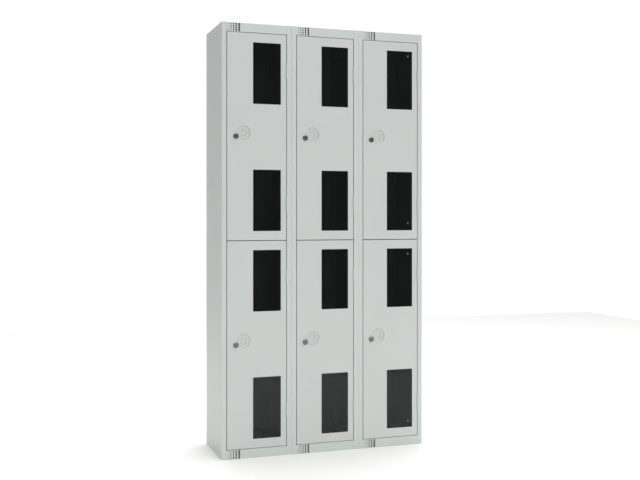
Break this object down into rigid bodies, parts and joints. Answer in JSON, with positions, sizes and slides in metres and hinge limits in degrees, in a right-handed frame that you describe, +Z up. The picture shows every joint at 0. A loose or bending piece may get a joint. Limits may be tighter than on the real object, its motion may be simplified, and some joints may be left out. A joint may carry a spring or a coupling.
{
  "type": "locker cabinet",
  "caption": "Nest of upright steel lockers joined side by side, two compartments high, each door with two clear windows, a cam lock and a pressed finger recess.",
  "frame": {"origin": "on the floor under the middle of the nest's footprint", "axes": "+Z up, -Y out of the door fronts, +X to the right of someone who faces the doors"},
  "size_m": [0.9, 0.3051, 1.8],
  "materials": {
    "carcass_paint": "satin",
    "door_paint": "satin",
    "hinge_paint": "satin",
    "clear_polycarbonate": "gloss",
    "lock_chrome": "polished",
    "zinc_steel": "satin",
    "hook_steel": "polished",
    "rubber": "matte"
  },
  "bodies": {
    "carcass": {"side_panel_left_1": "carcass_paint", "side_panel_right_1": "carcass_paint", "back_panel_1": "carcass_paint", "top_panel_1": "carcass_paint", "base_panel_1": "carcass_paint", "divider_shelf_1": "carcass_paint", "side_panel_left_2": "carcass_paint", "side_panel_right_2": "carcass_paint", "back_panel_2": "carcass_paint", "top_panel_2": "carcass_paint", "base_panel_2": "carcass_paint", "divider_shelf_2": "carcass_paint", "side_panel_left_3": "carcass_paint", "side_panel_right_3": "carcass_paint", "back_panel_3": "carcass_paint", "top_panel_3": "carcass_paint", "base_panel_3": "carcass_paint", "divider_shelf_3": "carcass_paint", "hinge_frame_leaves": "hinge_paint", "hinge_pins": "zinc_steel", "door_buffers": "rubber", "coat_hooks": "hook_steel", "joining_bolts": "zinc_steel", "joining_nuts": "zinc_steel"},
    "door_1_lower": {"door_skin_1_lower": "door_paint", "window_retainers_1_lower": "door_paint", "vision_panels_1_lower": "clear_polycarbonate", "hinge_door_leaves_1_lower": "hinge_paint", "lock_case_1_lower": "lock_chrome"},
    "lock_cam_1_lower": {"lock_cam_1_lower": "zinc_steel"},
    "door_1_upper": {"door_skin_1_upper": "door_paint", "window_retainers_1_upper": "door_paint", "vision_panels_1_upper": "clear_polycarbonate", "hinge_door_leaves_1_upper": "hinge_paint", "lock_case_1_upper": "lock_chrome"},
    "lock_cam_1_upper": {"lock_cam_1_upper": "zinc_steel"},
    "door_2_lower": {"door_skin_2_lower": "door_paint", "window_retainers_2_lower": "door_paint", "vision_panels_2_lower": "clear_polycarbonate", "hinge_door_leaves_2_lower": "hinge_paint", "lock_case_2_lower": "lock_chrome"},
    "lock_cam_2_lower": {"lock_cam_2_lower": "zinc_steel"},
    "door_2_upper": {"door_skin_2_upper": "door_paint", "window_retainers_2_upper": "door_paint", "vision_panels_2_upper": "clear_polycarbonate", "hinge_door_leaves_2_upper": "hinge_paint", "lock_case_2_upper": "lock_chrome"},
    "lock_cam_2_upper": {"lock_cam_2_upper": "zinc_steel"},
    "door_3_lower": {"door_skin_3_lower": "door_paint", "window_retainers_3_lower": "door_paint", "vision_panels_3_lower": "clear_polycarbonate", "hinge_door_leaves_3_lower": "hinge_paint", "lock_case_3_lower": "lock_chrome"},
    "lock_cam_3_lower": {"lock_cam_3_lower": "zinc_steel"},
    "door_3_upper": {"door_skin_3_upper": "door_paint", "window_retainers_3_upper": "door_paint", "vision_panels_3_upper": "clear_polycarbonate", "hinge_door_leaves_3_upper": "hinge_paint", "lock_case_3_upper": "lock_chrome"},
    "lock_cam_3_upper": {"lock_cam_3_upper": "zinc_steel"}
  },
  "joints": [
    {"name": "door_1_lower_hinge", "type": "hinge", "parent": "carcass", "child": "door_1_lower", "pos_m": [-0.17175, -0.1526, 0.469], "axis": [0, 0, 1], "range_deg": [0, 110]},
    {"name": "lock_1_lower_turn", "type": "hinge", "parent": "door_1_lower", "child": "lock_cam_1_lower", "pos_m": [-0.39, -0.15, 0.469], "axis": [0, 1, 0], "range_deg": [0, 90]},
    {"name": "door_1_upper_hinge", "type": "hinge", "parent": "carcass", "child": "door_1_upper", "pos_m": [-0.17175, -0.1526, 1.331], "axis": [0, 0, 1], "range_deg": [0, 110]},
    {"name": "lock_1_upper_turn", "type": "hinge", "parent": "door_1_upper", "child": "lock_cam_1_upper", "pos_m": [-0.39, -0.15, 1.331], "axis": [0, 1, 0], "range_deg": [0, 90]},
    {"name": "door_2_lower_hinge", "type": "hinge", "parent": "carcass", "child": "door_2_lower", "pos_m": [0.12825, -0.1526, 0.469], "axis": [0, 0, 1], "range_deg": [0, 110]},
    {"name": "lock_2_lower_turn", "type": "hinge", "parent": "door_2_lower", "child": "lock_cam_2_lower", "pos_m": [-0.09, -0.15, 0.469], "axis": [0, 1, 0], "range_deg": [0, 90]},
    {"name": "door_2_upper_hinge", "type": "hinge", "parent": "carcass", "child": "door_2_upper", "pos_m": [0.12825, -0.1526, 1.331], "axis": [0, 0, 1], "range_deg": [0, 110]},
    {"name": "lock_2_upper_turn", "type": "hinge", "parent": "door_2_upper", "child": "lock_cam_2_upper", "pos_m": [-0.09, -0.15, 1.331], "axis": [0, 1, 0], "range_deg": [0, 90]},
    {"name": "door_3_lower_hinge", "type": "hinge", "parent": "carcass", "child": "door_3_lower", "pos_m": [0.42825, -0.1526, 0.469], "axis": [0, 0, 1], "range_deg": [0, 110]},
    {"name": "lock_3_lower_turn", "type": "hinge", "parent": "door_3_lower", "child": "lock_cam_3_lower", "pos_m": [0.21, -0.15, 0.469], "axis": [0, 1, 0], "range_deg": [0, 90]},
    {"name": "door_3_upper_hinge", "type": "hinge", "parent": "carcass", "child": "door_3_upper", "pos_m": [0.42825, -0.1526, 1.331], "axis": [0, 0, 1], "range_deg": [0, 110]},
    {"name": "lock_3_upper_turn", "type": "hinge", "parent": "door_3_upper", "child": "lock_cam_3_upper", "pos_m": [0.21, -0.15, 1.331], "axis": [0, 1, 0], "range_deg": [0, 90]}
  ]
}
